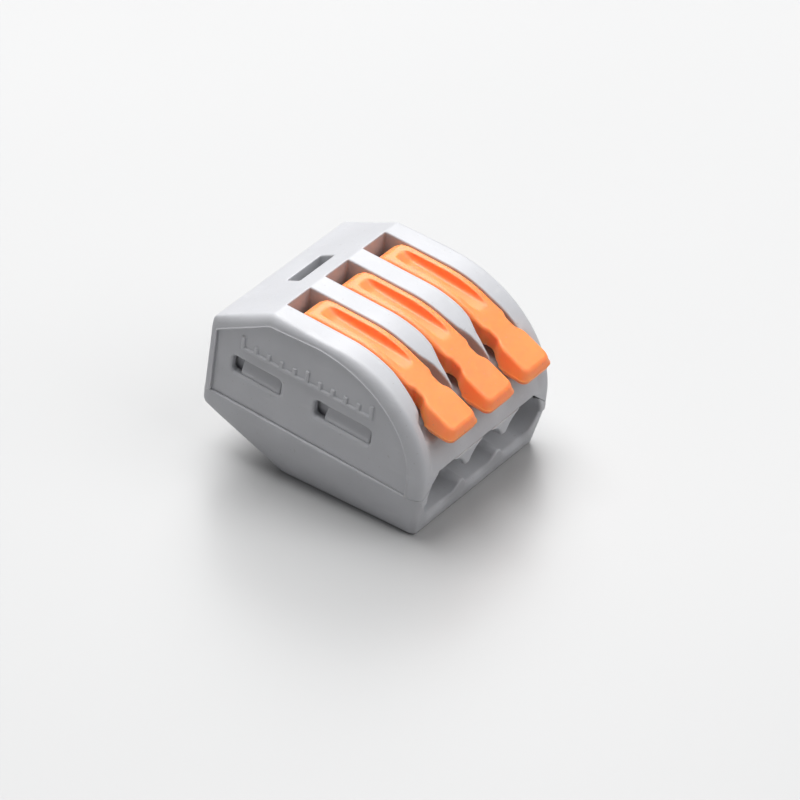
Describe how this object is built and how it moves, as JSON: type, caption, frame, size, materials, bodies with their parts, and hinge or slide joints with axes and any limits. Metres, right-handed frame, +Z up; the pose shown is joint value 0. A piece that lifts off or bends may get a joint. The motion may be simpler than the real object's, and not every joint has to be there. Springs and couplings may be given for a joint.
{
  "type": "lever wire connector",
  "caption": "Three-pole splicing connector: grey two-part housing, three orange cam levers, cage springs and a common busbar.",
  "frame": {"origin": "on the resting surface, under the middle of the connector's box", "axes": "+Z up, -Y towards the wire entries, X across the three poles"},
  "size_m": [0.0172, 0.0218, 0.0149],
  "materials": {
    "housing_grey": "satin moulded polyamide",
    "lever_orange": "satin moulded polyamide",
    "spring_steel": "rolled and stamped",
    "tinned_copper": "tin plated"
  },
  "bodies": {
    "root": {"top_housing": "housing_grey", "base_housing": "housing_grey", "busbar": "tinned_copper", "cage_spring_bow_1": "spring_steel", "cage_spring_bow_2": "spring_steel", "cage_spring_bow_3": "spring_steel"},
    "lever_1": {"lever_1": "lever_orange"},
    "spring_arm_1": {"cage_spring_arm_1": "spring_steel"},
    "lever_2": {"lever_2": "lever_orange"},
    "spring_arm_2": {"cage_spring_arm_2": "spring_steel"},
    "lever_3": {"lever_3": "lever_orange"},
    "spring_arm_3": {"cage_spring_arm_3": "spring_steel"}
  },
  "joints": [
    {"name": "lever_1_tilt", "type": "hinge", "parent": "root", "child": "lever_1", "pos_m": [-0.00474, 0.00128, 0.01204], "axis": [-1, 0, 0], "range_deg": [0, 90]},
    {"name": "spring_arm_1_flex", "type": "hinge", "parent": "root", "child": "spring_arm_1", "pos_m": [-0.00474, 0.00625, 0.00875], "axis": [1, 0, 0], "range_deg": [0, 16]},
    {"name": "lever_2_tilt", "type": "hinge", "parent": "root", "child": "lever_2", "pos_m": [0, 0.00128, 0.01204], "axis": [-1, 0, 0], "range_deg": [0, 90]},
    {"name": "spring_arm_2_flex", "type": "hinge", "parent": "root", "child": "spring_arm_2", "pos_m": [0, 0.00625, 0.00875], "axis": [1, 0, 0], "range_deg": [0, 16]},
    {"name": "lever_3_tilt", "type": "hinge", "parent": "root", "child": "lever_3", "pos_m": [0.00474, 0.00128, 0.01204], "axis": [-1, 0, 0], "range_deg": [0, 90]},
    {"name": "spring_arm_3_flex", "type": "hinge", "parent": "root", "child": "spring_arm_3", "pos_m": [0.00474, 0.00625, 0.00875], "axis": [1, 0, 0], "range_deg": [0, 16]}
  ],
  "couplings": [
    {"joint": "spring_arm_1_flex", "follows": "lever_1_tilt", "ratio": 0.17778},
    {"joint": "spring_arm_2_flex", "follows": "lever_2_tilt", "ratio": 0.17778},
    {"joint": "spring_arm_3_flex", "follows": "lever_3_tilt", "ratio": 0.17778}
  ]
}
